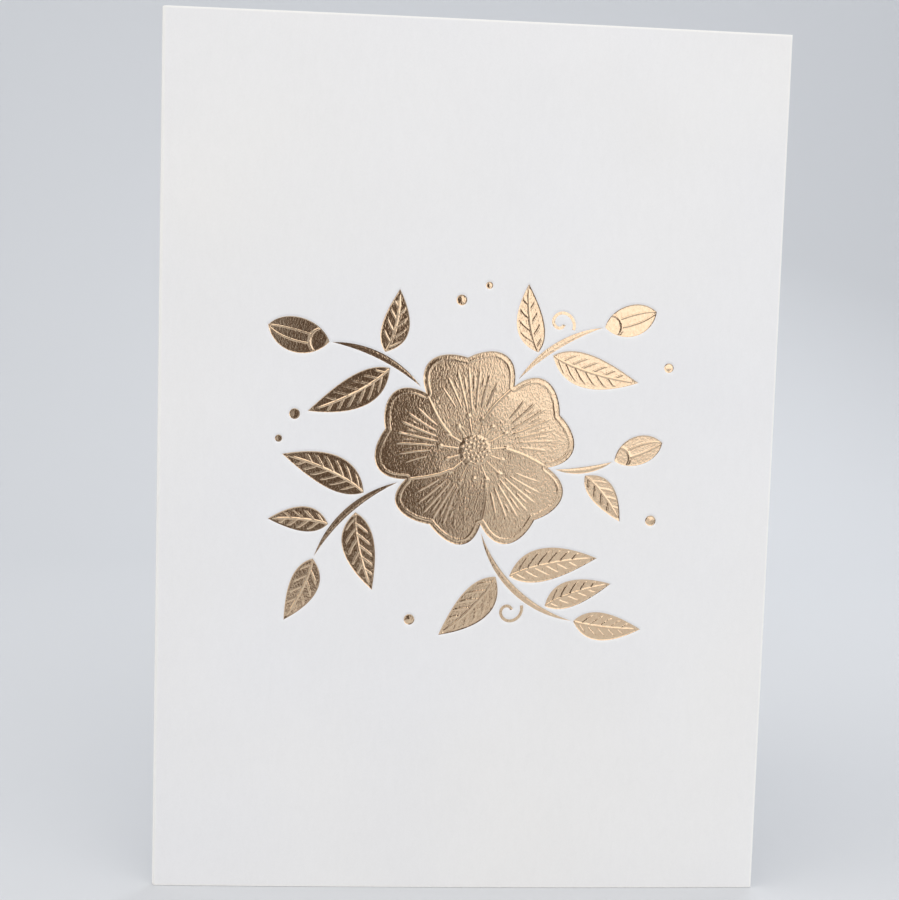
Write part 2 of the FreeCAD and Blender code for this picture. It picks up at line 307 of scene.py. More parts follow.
def even_bezier(poles, count):
    """count points of a cubic curve at equal steps of its length."""
    t = np.linspace(0, 1, FINE_POINTS)
    fine = bezier(poles, t)
    run = np.concatenate(([0], np.cumsum(np.linalg.norm(np.diff(fine, axis=0), axis=1))))
    return bezier(poles, np.interp(np.linspace(0, run[-1], count), run, t))


def loop_distance(points, loop):
    """Distance of points from a closed loop, positive inside: the least distance from its
    segments, with the sign from how often a line to the right crosses it."""
    start, end = loop, np.roll(loop, -1, axis=0)
    run = end - start
    square = np.maximum((run * run).sum(-1), 1e-12)
    rise = np.where(np.abs(run[:, 1]) < 1e-12, 1e-12, run[:, 1])
    found = []
    for part in np.array_split(points, 1 + len(points) * len(loop) // PAIRS_AT_ONCE):
        off = part[:, None] - start
        t = np.clip((off * run).sum(-1) / square, 0, 1)
        gap = off - t[..., None] * run
        least = np.sqrt((gap * gap).sum(-1).min(axis=1))
        level = part[:, 1, None]
        crosses = (start[:, 1] > level) != (end[:, 1] > level)
        crosses &= part[:, 0, None] < start[:, 0] + (level - start[:, 1]) * run[:, 0] / rise
        found.append(np.where(crosses.sum(axis=1) % 2 == 1, least, -least))
    return np.concatenate(found)


# Steps over the shoulder at the edge of a film
SHOULDER_STEPS = 5


def edge_steps(half, shoulder, step):
    """Distances from an edge to the middle: equal steps over the shoulder, which takes 0.7 of
    the way at most, then wider ones."""
    shoulder = min(shoulder, 0.7 * half)
    inside = max(2, math.ceil((half - shoulder) / step))
    over = np.linspace(0, shoulder, SHOULDER_STEPS + 1)
    return np.concatenate((over, np.linspace(shoulder, half, inside + 1)[1:]))


# ------------------------------------------------------------------- the motif's outlines

def blossom_point(motif, direction, along, across=0):
    """A point from its place along and across a line that leaves the blossom's centre."""
    ahead = heading(direction)
    beside = heading(direction + math.pi / 2)
    return np.array([motif.shift, motif.rise]) + along * ahead + across * beside


def petal_direction(motif, petal):
    """A petal's middle line: the first one's, turned by the petal's part of a circle."""
    return motif.petal_turn + 2 * math.pi * petal / PETALS


def blossom_outline(motif, steps):
    """The blossom's edge, anticlockwise: for each petal the curve from the valley on its right
    to its dip, then the one from its dip to the valley on its left, in equal steps."""
    loop = []
    for petal in range(PETALS):
        middle = petal_direction(motif, petal)
        reach = motif.petal_reach * (1 + PETAL_VARIATION * math.sin(2.1 * petal + 0.6))
        for side in (-1, 1):
            valley = middle + side * math.pi / PETALS
            poles = (
                blossom_point(motif, valley, motif.valley_reach),
                blossom_point(motif, valley, motif.valley_reach + VALLEY_POLE[0] * reach,
                              -side * VALLEY_POLE[1] * reach),
                blossom_point(motif, middle, LOBE_POLE[0] * reach, side * LOBE_POLE[1] * reach),
                blossom_point(motif, middle, PETAL_DIP * reach),
            )
            half = even_bezier(poles, steps + 1)
            loop.append(half[:-1] if side < 0 else half[::-1][:-1])
    return np.concatenate(loop)


def stem_half_width(motif, at):
    """Half a stem's width, zero at both ends: half of its middle width times 4 at (1 - at)."""
    return motif.stem_width / 2 * 4 * at * (1 - at)


def stem_point(motif, name, at, side=0, off=0):
    """Points beside a stem's middle line, and its heading there. The line is an arc whose
    heading turns evenly: start + radius (sin way - sin first, cos first - cos way)."""
    petal, lean, run, turn = STEMS[name]
    valley = petal_direction(motif, petal) + math.pi / PETALS
    start = blossom_point(motif, valley, motif.valley_reach + motif.root_gap)
    first = valley + math.radians(lean)
    turn = math.radians(turn)
    radius = run / turn
    way = first + turn * np.asarray(at, float)
    u = start[0] + radius * (np.sin(way) - math.sin(first)) - side * off * np.sin(way)
    v = start[1] - radius * (np.cos(way) - math.cos(first)) + side * off * np.cos(way)
    return np.stack((u, v), axis=-1), way


def three_point_arc(start, middle, end, t):
    """Points of the arc through three points: its centre is where the perpendicular bisectors
    meet, and its angle turns evenly with t."""
    a, b, c = (np.asarray(p, float) for p in (start, middle, end))
    sides = 2 * np.array([b - a, c - a])
    centre = np.linalg.solve(sides, [b @ b - a @ a, c @ c - a @ a])
    radius = np.linalg.norm(a - centre)
    first, half, last = (math.atan2(*(p - centre)[::-1]) for p in (a, b, c))
    half = (half - first + math.pi) % (2 * math.pi) - math.pi
    return centre + radius * heading(first + 2 * half * t)


def stem_sides(motif, name, t):
    """A stem's right and left side: arcs from its root through half a width out to its tip."""
    start, tip = stem_point(motif, name, 0)[0], stem_point(motif, name, 1)[0]
    half = motif.stem_width / 2
    return [three_point_arc(start, stem_point(motif, name, 0.5, side, half)[0], tip, t)
            for side in (-1, 1)]


def blade_sides(base, way, run, width, bend, middle_poles, t):
    """A leaf's or bud's right and left side, each a cubic curve from base to tip. The bend moves
    both the same way, by half a share of the length."""
    ahead, beside = heading(way), heading(way + math.pi / 2)
    out = width / 2 / POLE_EFFECT
    rise = bend * run / 2 / POLE_EFFECT
    sides = []
    for side in (-1, 1):
        places = [(0, 0), *((s * run, rise + side * f * out) for s, f in middle_poles), (run, 0)]
        sides.append(bezier([base + a * ahead + b * beside for a, b in places], t))
    return sides


def leaf_root(motif, name, at, side, splay):
    """Where a leaf starts, a gap off its stem's side or tip, and its heading."""
    base, way = stem_point(motif, name, at, side, stem_half_width(motif, at) + motif.gap)
    if side == 0:
        base = base + motif.gap * heading(way)
    return base, way + (side or 1) * math.radians(splay)


def bud_root(motif, name, splay):
    """Where a bud starts, a gap off its stem's tip, and its heading."""
    base, way = stem_point(motif, name, 1)
    return base + motif.gap * heading(way), way + math.radians(splay)


def end_steps(count):
    """Shares from 0 to 1, closer together towards both ends: an even spacing x mixed with
    (1 - cos(pi x)) / 2."""
    x = np.linspace(0, 1, count)
    return (1 - DRAWN_TO_ENDS) * x + DRAWN_TO_ENDS * (1 - np.cos(np.pi * x)) / 2


def tendril_sides(motif, name, at, side, splay, radius, steps):
    """A tendril's two sides along its quarter turns. Each turn's centre lies between the last
    one's centre and its end, so that the ribbon has no kink."""
    half = motif.tendril_width / 2
    base, way = stem_point(motif, name, at, side, stem_half_width(motif, at) + motif.gap + half)
    angle = way + side * (math.radians(splay) - math.pi / 2)
    centre = base - radius * heading(angle)
    outer, inner = [], []
    for quarter in range(TENDRIL_QUARTERS):
        span = angle + side * np.linspace(0, math.pi / 2, steps + 1)
        span = span if quarter == TENDRIL_QUARTERS - 1 else span[:-1]
        outer.append(centre + (radius + half) * heading(span))
        inner.append(centre + (radius - half) * heading(span))
        angle = angle + side * math.pi / 2
        centre = centre + radius * (1 - TENDRIL_SHRINK) * heading(angle)
        radius *= TENDRIL_SHRINK
    sides = [np.concatenate(outer), np.concatenate(inner)]
    return sides if side > 0 else sides[::-1]


# Points along half a petal, a quarter turn and a dot, and the gap between a leaf's rows
BLOSSOM_STEPS = 90
TENDRIL_STEPS = 26
DOT_STEPS = 80
ROW_GAP = 0.24


def leaf_rows(run):
    """An odd number of rows for a shape of that length, so that every second one keeps both
    ends."""
    return end_steps(2 * round(run / ROW_GAP) + 1)


def blades(motif):
    """Every leaf: its two sides, the shares of their rows and its length."""
    for name, at, side, splay, run, width, bend in LEAVES:
        rows = leaf_rows(run)
        base, way = leaf_root(motif, name, at, side, splay)
        yield blade_sides(base, way, run, width, bend, LEAF_POLES, rows), rows, run


def buds(motif):
    """Every bud, in the same form as the leaves."""
    for name, splay, run, width, bend in BUDS:
        rows = leaf_rows(run)
        base, way = bud_root(motif, name, splay)
        yield blade_sides(base, way, run, width, bend, BUD_POLES, rows), rows, run


def stems(motif):
    """Every stem, in the same form as the leaves."""
    for name, (_, _, run, _) in STEMS.items():
        rows = leaf_rows(run)
        yield stem_sides(motif, name, rows), rows, run


def tendrils(motif):
    """Every tendril's two sides."""
    for tendril in TENDRILS:
        yield tendril_sides(motif, *tendril, TENDRIL_STEPS)


def loop_of(sides):
    """A closed loop, anticlockwise, from a right side and a left side that share their ends or
    are joined across them."""
    right, left = sides
    back = left[::-1]
    if np.allclose(right[-1], left[-1]):
        back = back[1:]
    if np.allclose(right[0], left[0]):
        back = back[:-1]
    return np.concatenate((right, back))


def dot_loop(motif, right, above, radius, count):
    """A dot's outline, anticlockwise: count points of a circle."""
    centre = blossom_point(motif, 0, right, above)
    return centre + radius * heading(np.linspace(0, 2 * math.pi, count, endpoint=False))


def motif_loops(motif):
    """Every outline of the foil, with every second point of the film's own."""
    loops = [blossom_outline(motif, BLOSSOM_STEPS)[::2]]
    for sides, _, _ in (*blades(motif), *buds(motif), *stems(motif)):
        loops.append(loop_of([side[::2] for side in sides]))
    loops += [loop_of([side[::2] for side in sides]) for sides in tendrils(motif)]
    return loops + [dot_loop(motif, *dot, DOT_STEPS // 2) for dot in DOTS]


# --------------------------------------------------------------- the pressed front panel

def front_y(sheet, x):
    """The front face seen from above: half the depth in front of the origin, and further by the
    bow times 1 - s^2, where s runs from -1 at the fold to 1 at the free edge."""
    s = (2 * (sheet.width / 2 - x) / sheet.straight) - 1
    return -sheet.half_depth - sheet.front_bow * (1 - s * s)


def press(motif, q):
    """How deep the die has pressed at a distance q inside an outline: the press depth times a
    smooth step from the outer end of the shoulder to its inner end."""
    return motif.press_depth * smooth((q + motif.shoulder_out)
                                      / (motif.shoulder_out + motif.shoulder_in))


def film_thickness(motif, q):
    """The film's thickness: from its rim's, by a smooth step over the inside shoulder."""
    return motif.film_rim + (motif.film - motif.film_rim) * smooth(q / motif.shoulder_in)


def on_card(sheet, motif, uv, into):
    """Points of the front panel, from their place in the motif's plane and their depth."""
    x = uv[..., 0]
    z = sheet.height / 2 + motif.lift + uv[..., 1]
    return np.stack((x, front_y(sheet, x) + into, z), axis=-1)


# ------------------------------------------------------------------------- mesh building

def grid_faces(rows, columns, closed=False):
    """The quads of a grid of points that are numbered row by row. The last column of a closed
    grid is joined to its first."""
    row = np.arange(rows - 1)[:, None] * columns
    here = np.arange(columns if closed else columns - 1)
    beside = (here + 1) % columns
    quads = row + here, row + beside, row + beside + columns, row + here + columns
    return np.stack(quads, -1).reshape(-1, 4)


# In metres
MERGE_WITHIN = 1e-6
LEAST_EDGE = 1e-7
SHARP_ANGLE = math.radians(38)


def add_piece(name, parts, material, nodes, masks=None):
    """A piece from parts (points in millimetres, faces), as one closed mesh with its faces
    outwards. It rides on the card and stands for its CAD nodes. masks are values per point."""
    points = np.concatenate([p.reshape(-1, 3) for p, _ in parts]) * MM
    faces, first = [], 0
    for part, quads in parts:
        faces += (quads + first).tolist()
        first += part.reshape(-1, 3).shape[0]
    mesh = bpy.data.meshes.new(name)
    mesh.from_pydata(points.tolist(), [], faces)
    for key, values in (masks or {}).items():
        mesh.attributes.new(key, "FLOAT", "POINT").data.foreach_set("value", values.astype("f"))
    edit = bmesh.new()
    edit.from_mesh(mesh)
    bmesh.ops.remove_doubles(edit, verts=edit.verts, dist=MERGE_WITHIN)
    bmesh.ops.dissolve_degenerate(edit, edges=edit.edges, dist=LEAST_EDGE)
    bmesh.ops.recalc_face_normals(edit, faces=edit.faces)
    open_edges = sum(1 for edge in edit.edges if len(edge.link_faces) != 2)
    edit.to_mesh(mesh)
    edit.free()
    if open_edges:
        raise RuntimeError(f"{name} has {open_edges} open or doubled edges")
    mesh.shade_smooth()
    mesh.set_sharp_from_angle(angle=SHARP_ANGLE)
    mesh.materials.append(material)
    piece = bpy.data.objects.new(name, mesh)
    bpy.context.scene.collection.objects.link(piece)
    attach(piece, "root")
    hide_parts(*nodes)


# Steps across a film inside its shoulders, and a distance that stands for far from an outline
BLADE_STEP = 0.1
DOT_STEP = 0.08
FAR = 9.0


def blade_film(sheet, motif, sides, raised, square=False):
    """A closed film between a right and a left side. Each row of its upper face runs straight
    across, from -1 at the right side to 1 at the left, and raised(across, half width) gives the
    height of its lines. The lower face is flat inside its shoulders. Square ends are closed."""
    right, left = sides
    half = np.linalg.norm(left - right, axis=1) / 2
    q = edge_steps(half.max(), motif.close_rows, BLADE_STEP)
    across = q / half.max() - 1
    across = np.concatenate((across, -across[::-1][1:]))
    c = across[None, :, None]
    uv = ((1 - c) * right[:, None] + (1 + c) * left[:, None]) / 2
    inside = np.abs(loop_distance(uv.reshape(-1, 2), loop_of(sides)).reshape(uv.shape[:2]))
    top = on_card(sheet, motif, uv, press(motif, inside) - raised(across[None], half[:, None]))
    last = len(across) - 1
    keep = [last, last - SHOULDER_STEPS, SHOULDER_STEPS, 0]
    under = press(motif, inside[:, keep]) + film_thickness(motif, inside[:, keep])
    bottom = on_card(sheet, motif, uv[:, keep], under)
    ring = np.concatenate((top, bottom), axis=1)
    if square:
        ends = [np.broadcast_to(row.mean(axis=0), row.shape)[None] for row in (ring[0], ring[-1])]
        ring = np.concatenate((ends[0], ring, ends[1]))
    return ring, grid_faces(*ring.shape[:2], closed=True)


def round_film(sheet, motif, centre, loop, reaches, raised, near=0.0):
    """A closed film inside a loop seen whole from its centre. reaches are shares of the way from
    the centre to the loop; distances from the loop are worked out from the share near outward.
    The lower face is the outline, a ring inside it and the centre."""
    uv = centre + reaches[:, None, None] * (loop - centre)[None]
    edge = reaches >= near
    inside = np.full(uv.shape[:2], FAR)
    inside[edge] = np.abs(loop_distance(uv[edge].reshape(-1, 2), loop)).reshape(-1, len(loop))
    top = on_card(sheet, motif, uv, press(motif, inside) - raised(uv, inside))
    last = len(reaches) - 1
    keep = [last, last - SHOULDER_STEPS, 0]
    under = press(motif, inside[keep]) + film_thickness(motif, inside[keep])
    bottom = on_card(sheet, motif, uv[keep], under)
    ring = np.concatenate((top, bottom))
    return ring, grid_faces(*ring.shape[:2], closed=True)


# -------------------------------------------------------------------- raised lines in foil

# The lines where the blossom's petals overlap: their swing on the way in and where they end,
# then the height of the petal on their right, its rise's width and how far it fades
OVERLAP_SWING = math.radians(30)
OVERLAP_START = 4.6
PETAL_STEP = 0.05
PETAL_STEP_RUN = 0.35
PETAL_STEP_REACH = 2.6

# Its veins. A vein's rank counts from its petal's middle line, and its length shrinks with the
# square of that. Whole and half ranks: the first one's start, how much later each further rank
# starts, how much shorter they are, and their rise.
VEIN_RANKS = np.arange(-3, 3.1, 0.5)
WHOLE_VEIN = (6.4, 0.35, 0.0, 1.0)
HALF_VEIN = (9.6, 0.5, 1.1, 0.7)
VEIN_SPREAD = math.radians(4.6)
VEIN_FAN = math.radians(4.2)
VEIN_REACH = 0.86
VEIN_SHRINK = 0.012
CLEAR_OF_OVERLAP = 0.35
CLEAR_OF_EDGE = 1.0

# The line along its edge
BORDER_INSET = 0.78
BORDER_WIDTH = 0.36
BORDER_RISE = 0.9

# Its filaments, the dots at their tips, and the dome of seeds
FILAMENTS = 15
FILAMENT_TIPS = (5.9, 4.9, 5.4)
FILAMENT_START = 2.7
FILAMENT_WIDTH = 0.3
FILAMENT_RISE = 0.72
TIP_WIDTH = 0.95
TIP_RISE = 1.08
SEEDS = 37
SEED_SPACING = 0.41
SEED_WIDTH = 0.62
SEED_HEIGHT = 0.06
GOLDEN_ANGLE = math.radians(137.508)
DOME_REACH = 2.75
DOME_RISE = 0.05

# A petal's part of the circle
PART = 2 * math.pi / PETALS


def overlap_relief(motif, r, turn):
    """Lines that leave the valleys and swing to the left on their way in, each with the petal on
    its right standing a little higher. Also gives the distance beside the nearest line."""
    swing = OVERLAP_SWING * np.clip(1 - r / motif.valley_reach, 0, 1) ** 1.25
    beside = r * ((turn - swing) % PART - PART / 2)
    line = ridge(beside, motif.ridge_width) * motif.ridge_height
    line *= fade_in(r, OVERLAP_START, 1.2) * fade_out(r, motif.valley_reach - 0.4, 0.5)
    step = PETAL_STEP * smooth(0.5 - beside / PETAL_STEP_RUN)
    step *= np.exp(-np.abs(beside) / PETAL_STEP_REACH)
    step *= fade_in(r, OVERLAP_START, 2.5) * fade_out(r, motif.valley_reach - 0.2, 2.0)
    return line + step, beside


def vein_relief(motif, r, turn, inside, beside):
    """Veins that fan out from the heart in each petal, clear of its overlap lines and edge. Each
    keeps its rank times a spread and a fan that grows with r from the middle line."""
    off = (turn + PART / 2) % PART - PART / 2
    veins = np.zeros_like(r)
    for rank in VEIN_RANKS:
        start, later, shorter, rise = WHOLE_VEIN if rank == round(rank) else HALF_VEIN
        line = rank * (VEIN_SPREAD + VEIN_FAN * r / motif.petal_reach)
        end = motif.petal_reach * (VEIN_REACH - VEIN_SHRINK * rank**2) - shorter
        vein = rise * ridge(r * (off - line), motif.vein_width)
        vein *= fade_in(r, start + later * abs(rank), 1.6) * fade_out(r, end, 1.2)
        veins = np.maximum(veins, vein)
    clear = smooth((np.abs(beside) - CLEAR_OF_OVERLAP) / 0.5 + 0.999 * (r > motif.valley_reach))
    return veins * motif.vein_height * clear * fade_in(inside, CLEAR_OF_EDGE, 0.5)


def heart_relief(motif, off, r, turn):
    """Filaments that end in dots, round a low dome of seeds. The seeds sit at the golden angle,
    at a distance that grows as the root of their number."""
    filaments = np.zeros_like(r)
    for k in range(FILAMENTS):
        way = (turn - (k + 0.25) * 2 * math.pi / FILAMENTS + math.pi) % (2 * math.pi) - math.pi
        tip = FILAMENT_TIPS[k % len(FILAMENT_TIPS)]
        stalk = ridge(r * way, FILAMENT_WIDTH)
        stalk *= fade_in(r, FILAMENT_START, 0.4) * fade_out(r, tip + 0.2, 0.2)
        dot = ridge(np.hypot(r - tip, r * way), TIP_WIDTH)
        filaments = np.maximum.reduce([filaments, FILAMENT_RISE * stalk,
                                       TIP_RISE * dot])
    k = np.arange(1, SEEDS + 1)
    places = SEED_SPACING * np.sqrt(k)[:, None] * heading(k * GOLDEN_ANGLE)
    core = r < DOME_REACH + SEED_WIDTH / 2
    gap = np.linalg.norm(off[core][:, None] - places, axis=-1).min(axis=1)
    seeds = np.zeros_like(r)
    seeds[core] = SEED_HEIGHT * ridge(gap, SEED_WIDTH)
    seeds[core] += DOME_RISE * fade_out(r[core], DOME_REACH, 0.5)
    return np.maximum(filaments * motif.ridge_height, seeds)


def blossom_relief(motif, uv, inside):
    """Height of the blossom's raised lines: the highest of its overlap lines, its veins and a
    line along its edge, with the heart on top."""
    off = uv - np.array([motif.shift, motif.rise])
    r = np.hypot(off[..., 0], off[..., 1])
    turn = np.arctan2(off[..., 1], off[..., 0]) - motif.petal_turn
    overlaps, beside = overlap_relief(motif, r, turn)
    veins = vein_relief(motif, r, turn, inside, beside)
    border = BORDER_RISE * motif.vein_height * ridge(inside - BORDER_INSET, BORDER_WIDTH)
    return np.maximum.reduce([overlaps, veins, border]) + heart_relief(motif, off, r, turn)


# A leaf's side veins: their spacing, the shares of the leaf where the first would leave the
# midrib and that all of them span, their slope and their hook
SIDE_VEIN_GAP = 2.6
SIDE_VEIN_ROOT = 0.07
SIDE_VEIN_SPAN = 0.72
SIDE_VEIN_SLOPE = 0.95
SIDE_VEIN_HOOK = 0.10

# A bud's seams, as their place across it and their rise, and the edge of its cup
BUD_SEAMS = ((0.34, 1.0), (-0.26, 0.8))
CUP_PLACE = 0.34
CUP_CURVE = 0.12


def leaf_relief(motif, rows, run):
    """A leaf's raised lines: a midrib that thins out before the tip, and side veins that leave
    it in turn on each side, forward at about 45 degrees and slightly hooked."""
    at = rows[:, None]
    count = 2 * max(3, round(run / SIDE_VEIN_GAP))

    def raised(across, half):
        beside = across * half
        out = np.abs(beside)
        midrib = ridge(beside, motif.ridge_width) * fade_in(at, 0, 0.05) * fade_out(at, 0.96, 0.16)
        veins = np.zeros(np.broadcast_shapes(at.shape, across.shape))
        for k in range(count):
            side = 1 if k % 2 else -1
            root = (SIDE_VEIN_ROOT + SIDE_VEIN_SPAN * (k + 0.5) / count) * run
            line = root + SIDE_VEIN_SLOPE * out + SIDE_VEIN_HOOK * out * out
            vein = ridge((at * run - line) * 0.7, motif.vein_width) * (side * across > 0)
            veins = np.maximum(veins, vein * fade_out(np.abs(across), 0.84, 0.24))
        return np.maximum(midrib * motif.ridge_height, veins * motif.vein_height)

    return raised


def bud_relief(motif, rows, run):
    """A bud's raised lines: two seams from its cup to its tip, and the edge of the cup at its
    base, highest in the middle and drawn back at the sides."""
    at = rows[:, None]

    def raised(across, half):
        seams = np.maximum(*(rise * ridge((across - place) * half, motif.vein_width)
                             for place, rise in BUD_SEAMS))
        seams = seams * fade_in(at, 0.30, 0.06) * fade_out(at, 0.98, 0.08)
        cup = ridge((at - CUP_PLACE + CUP_CURVE * across**2) * run * 0.95, motif.ridge_width)
        cup = cup * fade_out(np.abs(across), 0.98, 0.12)
        return np.maximum(seams * motif.vein_height, cup * motif.ridge_height)

    return raised


def crown(height):
    """A rounded top: height times 1 - across^2, and lower where the film is narrow."""
    return lambda across, half: height * (1 - across**2) * smooth(half / 0.25)


# -------------------------------------------------------------------------- the card sheet

# Rows and columns of the sheet's grid start this far from a cut edge, in millimetres
EVEN_START = 2.0
PANEL_COLUMNS = 52
PANEL_ROWS = 73
FOLD_STEPS = 16

# The front face: rows of points beside an outline, how far off a row may be, how far from an
# outline its distance is worked out, and the lattice, kept this far outside or inside outlines.
# Under the foil, the card lies this far below the film at the outline, and further inside.
SLOPE_ROWS = (0.08, 0.17, 0.26, 0.35, 0.44, 0.56)
OUTER_ROWS = (0.9, 1.4)
ROW_SHARE, ROW_SLACK = 0.15, 0.006
OUTLINE_MARGIN = 1.6
LATTICE = 2.0
LATTICE_OUTSIDE, LATTICE_INSIDE = 1.9, 0.5
FILM_CLEARANCE = 0.003
FILM_HOLLOW = 0.02
TINY = 1e-3


def sheet_stations(sheet):
    """Distances from a cut edge along a panel, closer together at the edge."""
    inner = np.linspace(EVEN_START, sheet.straight, PANEL_COLUMNS)
    return np.concatenate(([0, sheet.ease_width, sheet.painted_edge_highlight_width], inner))


def sheet_levels(sheet):
    """Heights of the sheet's rows, closer together at the cut edges."""
    edge = np.array([0, sheet.ease_width, sheet.painted_edge_highlight_width])
    middle = np.linspace(EVEN_START, sheet.height - EVEN_START, PANEL_ROWS)
    return np.concatenate((edge, middle, sheet.height - edge[::-1]))


def sheet_profile(sheet):
    """The sheet seen from above, as its outside and its inside point by point: the front panel
    from its free edge to the fold, the fold, and the back panel to its free edge. Outside, the
    fold is an arc of radius outer; inside, it is the arc of the bead. Each panel bows by its
    bow times 1 - s^2, where s runs from -1 to 1 along it."""
    stations = sheet_stations(sheet)
    s = 2 * stations / sheet.straight - 1
    x = sheet.width / 2 - stations
    bow = 1 - s * s
    front = np.stack((x, -sheet.half_depth - sheet.front_bow * bow), axis=-1)
    front_inside = front + [0, sheet.stock]
    centre = np.array([sheet.outer - sheet.width / 2, sheet.outer - sheet.half_depth])
    along, outward = heading(sheet.opening), heading(sheet.opening + math.pi / 2)
    inward = heading(sheet.opening / 2)
    turn = -math.pi / 2 - (math.pi - sheet.opening) * np.linspace(0, 1, FOLD_STEPS + 1)[1:-1]
    fold = centre + sheet.outer * heading(turn)
    half_chord = sheet.crease_radius * math.cos(sheet.opening / 2)
    bead_radius = (half_chord**2 + sheet.bead_height**2) / (2 * sheet.bead_height)
    bead_front = centre - [0, sheet.crease_radius]
    bead_back = centre + outward * sheet.crease_radius
    bead_centre = (bead_front + bead_back) / 2 + inward * (sheet.bead_height - bead_radius)
    spread = math.asin(half_chord / bead_radius)
    bead = bead_centre + bead_radius * heading(
        sheet.opening / 2 + spread * np.linspace(-1, 1, FOLD_STEPS + 1)[1:-1])
    far = (sheet.straight - stations)[::-1, None]
    lean = outward * (sheet.back_bow * bow)[::-1, None]
    back = centre + outward * sheet.outer + along * far + lean
    back_inside = back - outward * sheet.stock
    outside = np.concatenate((front, fold, back))
    inside = np.concatenate((front_inside, bead, back_inside))
    return outside, inside


def front_patch(sheet, motif, loops):
    """The front face as triangles: its border, the foil's outlines, rows of points beside them
    on the shoulders, and a plain lattice elsewhere. Each point's depth follows from its distance
    from the nearest outline."""
    levels, stations = sheet_levels(sheet), sheet_stations(sheet)
    columns = sheet.width / 2 - stations
    lines = [np.stack(np.meshgrid(columns, levels[[0, 1, 2, -3, -2, -1]]), -1).reshape(-1, 2),
             np.stack(np.meshgrid(columns[[0, 1, 2, -1]], levels[3:-3]), -1).reshape(-1, 2)]
    border = np.concatenate(lines)
    centre = np.array([0, sheet.height / 2 + motif.lift])
    loops = [loop + centre for loop in loops]

    def to_outline(points):
        """Distance from the nearest outline, positive inside the foil, and -FAR well away."""
        q = np.full(len(points), -FAR)
        for loop in loops:
            low, high = loop.min(axis=0) - OUTLINE_MARGIN, loop.max(axis=0) + OUTLINE_MARGIN
            near = np.flatnonzero(((points > low) & (points < high)).all(axis=1))
            if len(near):
                q[near] = np.maximum(q[near], loop_distance(points[near], loop))
        return q

    beside = []
    for loop in loops:
        run = np.roll(loop, -1, axis=0) - np.roll(loop, 1, axis=0)
        outward = np.stack((run[:, 1], -run[:, 0]), -1) / np.linalg.norm(run, axis=1)[:, None]
        beside += [(loop + off * outward, -off) for off in (*SLOPE_ROWS, -motif.shoulder_in)]
        beside += [(loop[::3] + off * outward[::3], -off) for off in OUTER_ROWS]
    rows = []
    for points, off in beside:
        q = to_outline(points)
        rows.append(points[np.abs(q - off) < ROW_SHARE * abs(off) + ROW_SLACK])
    lattice = np.stack(np.meshgrid(
        np.arange(columns[-1] + LATTICE / 2, columns[2] - 0.8, LATTICE),
        np.arange(LATTICE, sheet.height - LATTICE / 2, LATTICE)), -1).reshape(-1, 2)
    q = to_outline(lattice)
    lattice = lattice[(q < -LATTICE_OUTSIDE) | (q > LATTICE_INSIDE)]
    outline = np.concatenate(loops)
    points = np.concatenate((outline, border, *rows, lattice))
    edges, first = [], 0
    for loop in loops:
        i = np.arange(len(loop))
        edges += np.stack((first + i, first + (i + 1) % len(loop)), -1).tolist()
        first += len(loop)
    verts, _, faces, *_ = delaunay_2d_cdt([Vector(p) for p in points], edges, [], 0, 1e-5, False)
    flat = np.array(verts)
    q = to_outline(flat)
    inside = np.clip(q, 0, None)
    depth = press(motif, q)
    under = np.where(q > -TINY, film_thickness(motif, inside) + FILM_CLEARANCE
                     + FILM_HOLLOW * smooth(inside / motif.shoulder_in), 0)
    at_cut = ((flat[:, 0] > sheet.width / 2 - TINY) | (flat[:, 1] < TINY)
              | (flat[:, 1] > sheet.height - TINY))
    y = front_y(sheet, flat[:, 0]) + depth + under + sheet.ease * at_cut
    solid = np.stack((flat[:, 0], y, flat[:, 1]), -1)
    return solid, np.array(faces), depth / motif.press_depth


def painted_edge_highlight_mask(sheet, points):
    """Mask of the painted highlight: 1 at the cut edges and the fold, falling evenly to 0 over the
    highlight's width, and over twice that beside the fold."""
    x, z = points[:, 0], points[:, 2]
    centre = np.array([sheet.outer - sheet.width / 2, sheet.outer - sheet.half_depth])
    far = np.linalg.norm(points[:, :2] - centre, axis=1)
    gap = np.minimum.reduce([z, sheet.height - z, np.abs(sheet.straight - far),
                             (x + sheet.width / 2) / 2])
    return np.clip(1 - gap / sheet.painted_edge_highlight_width, 0, 1)


def card_parts(sheet, motif):
    """The sheet as a closed shell: its front patch, the rest of its outside, its inside, its two
    free edges, and its top and bottom. At the cut edges the outside and the inside come nearer
    to each other by the ease."""
    outside, inside = sheet_profile(sheet)
    levels = sheet_levels(sheet)
    across = (inside - outside) / np.linalg.norm(inside - outside, axis=1)[:, None]
    cut = np.zeros((len(levels), len(outside)), bool)
    cut[[0, -1]] = cut[:, [0, -1]] = True
    shift = sheet.ease * cut[..., None] * across[None]
    level = np.broadcast_to(levels[:, None, None], (*cut.shape, 1))
    outer = np.concatenate((outside + shift, level), -1)
    inner = np.concatenate((inside - shift, level), -1)
    front = len(sheet_stations(sheet)) - 1
    wrap = outer[:, front:]
    patch, triangles, pressed = front_patch(sheet, motif, motif_loops(motif))
    parts = [(patch, triangles), (wrap, grid_faces(*wrap.shape[:2])),
             (inner, grid_faces(*inner.shape[:2]))]
    for strip in (np.stack((outer[:, 0], inner[:, 0])), np.stack((outer[:, -1], inner[:, -1])),
                  np.stack((outer[0], inner[0])), np.stack((outer[-1], inner[-1]))):
        parts.append((strip, grid_faces(*strip.shape[:2])))
    count = sum(p.reshape(-1, 3).shape[0] for p, _ in parts)
    pressed = np.concatenate((pressed, np.zeros(count - len(pressed))))
    # Mask of the painted highlight along the cut edges and the fold
    rim = painted_edge_highlight_mask(sheet, np.concatenate([p.reshape(-1, 3) for p, _ in parts]))
    return parts, {"pressed": pressed, "rim": rim}


# ------------------------------------------------------------------------------ materials

